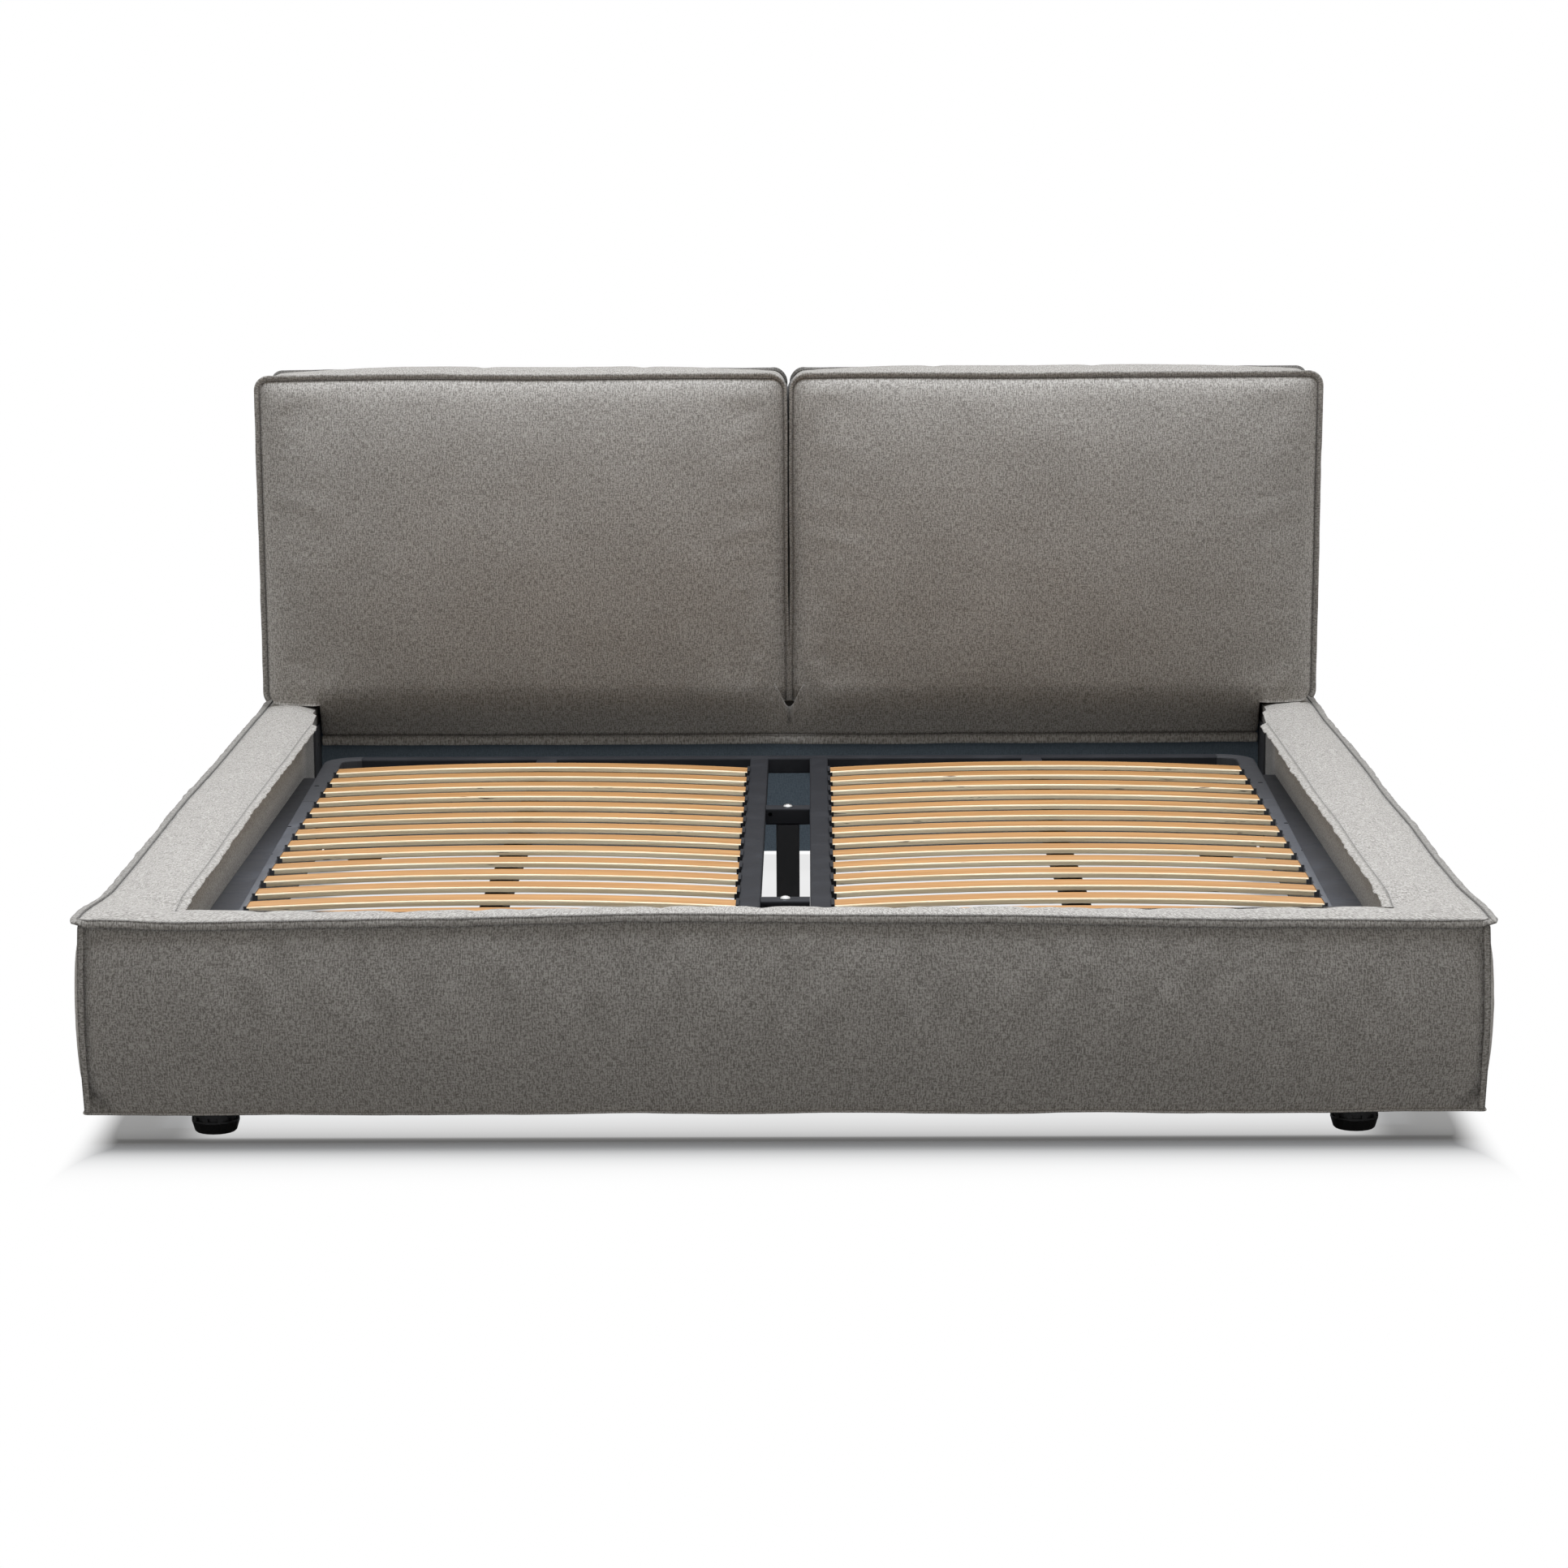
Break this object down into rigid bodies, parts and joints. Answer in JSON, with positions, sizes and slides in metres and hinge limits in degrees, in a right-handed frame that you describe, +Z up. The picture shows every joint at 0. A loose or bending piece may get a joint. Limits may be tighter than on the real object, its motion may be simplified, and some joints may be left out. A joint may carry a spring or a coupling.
{
  "type": "upholstered double bed",
  "caption": "Low double bed with a padded linen surround, a steel base of sprung beech slats, and a headboard of saddle cushions over a lined panel.",
  "frame": {"origin": "on the floor under the middle of the bed's bounding box", "axes": "+X to the right as seen from the foot end, +Y towards the headboard, +Z up"},
  "size_m": [2.118, 2.448, 1],
  "materials": {
    "linen_surround": "melange linen weave with vertical slubs, matt",
    "linen_cushion": "melange linen weave with vertical slubs, matt",
    "linen_skirt": "melange linen weave with a stitched hem, matt",
    "panel_lining": "smooth grey-blue lining cloth, matt",
    "timber_core": "raw plywood, unfinished",
    "beech_slat": "laminated beech with an orange-brown foil face and pale raw edges, satin",
    "black_frame": "charcoal powder coat, satin",
    "black_fittings": "black powder coat, satin",
    "bright_bolt": "bright zinc plate, polished",
    "black_plastic_foot": "black moulded plastic, matt"
  },
  "bodies": {
    "bed": {"centre_leg_foot": "black_frame", "centre_leg_head": "black_frame", "crossbar_foot": "black_frame", "crossbar_head": "black_frame", "cushion_left": "linen_cushion", "cushion_right": "linen_cushion", "foot_bar": "black_frame", "footboard_core": "timber_core", "footboard_pad": "linen_surround", "head_bar": "black_frame", "head_bracket_left": "black_fittings", "head_bracket_right": "black_fittings", "head_panel": "panel_lining", "inner_rail_left": "black_frame", "inner_rail_right": "black_frame", "leg_bolt_foot": "bright_bolt", "leg_bolt_head": "bright_bolt", "mid_rail_left": "black_frame", "mid_rail_right": "black_frame", "outer_rail_left": "black_frame", "outer_rail_right": "black_frame", "side_board_left": "timber_core", "side_board_right": "timber_core", "side_pad_left": "linen_surround", "side_pad_right": "linen_surround", "skirt": "linen_skirt", "slat_left_01": "beech_slat", "slat_left_02": "beech_slat", "slat_left_03": "beech_slat", "slat_left_04": "beech_slat", "slat_left_05": "beech_slat", "slat_left_06": "beech_slat", "slat_left_07": "beech_slat", "slat_left_08": "beech_slat", "slat_left_09": "beech_slat", "slat_left_10": "beech_slat", "slat_left_11": "beech_slat", "slat_left_12": "beech_slat", "slat_left_13": "beech_slat", "slat_left_14": "beech_slat", "slat_right_01": "beech_slat", "slat_right_02": "beech_slat", "slat_right_03": "beech_slat", "slat_right_04": "beech_slat", "slat_right_05": "beech_slat", "slat_right_06": "beech_slat", "slat_right_07": "beech_slat", "slat_right_08": "beech_slat", "slat_right_09": "beech_slat", "slat_right_10": "beech_slat", "slat_right_11": "beech_slat", "slat_right_12": "beech_slat", "slat_right_13": "beech_slat", "slat_right_14": "beech_slat", "support_angle_left": "black_fittings", "support_angle_right": "black_fittings"},
    "foot_front_left": {"levelling_foot_front_left": "black_plastic_foot"},
    "foot_front_right": {"levelling_foot_front_right": "black_plastic_foot"},
    "foot_rear_left": {"levelling_foot_rear_left": "black_plastic_foot"},
    "foot_rear_right": {"levelling_foot_rear_right": "black_plastic_foot"}
  },
  "joints": [
    {"name": "screw_front_left", "type": "slide", "parent": "bed", "child": "foot_front_left", "axis": [0, 0, -1], "range_m": [0, 0.012]},
    {"name": "screw_front_right", "type": "slide", "parent": "bed", "child": "foot_front_right", "axis": [0, 0, -1], "range_m": [0, 0.012]},
    {"name": "screw_rear_left", "type": "slide", "parent": "bed", "child": "foot_rear_left", "axis": [0, 0, -1], "range_m": [0, 0.012]},
    {"name": "screw_rear_right", "type": "slide", "parent": "bed", "child": "foot_rear_right", "axis": [0, 0, -1], "range_m": [0, 0.012]}
  ]
}
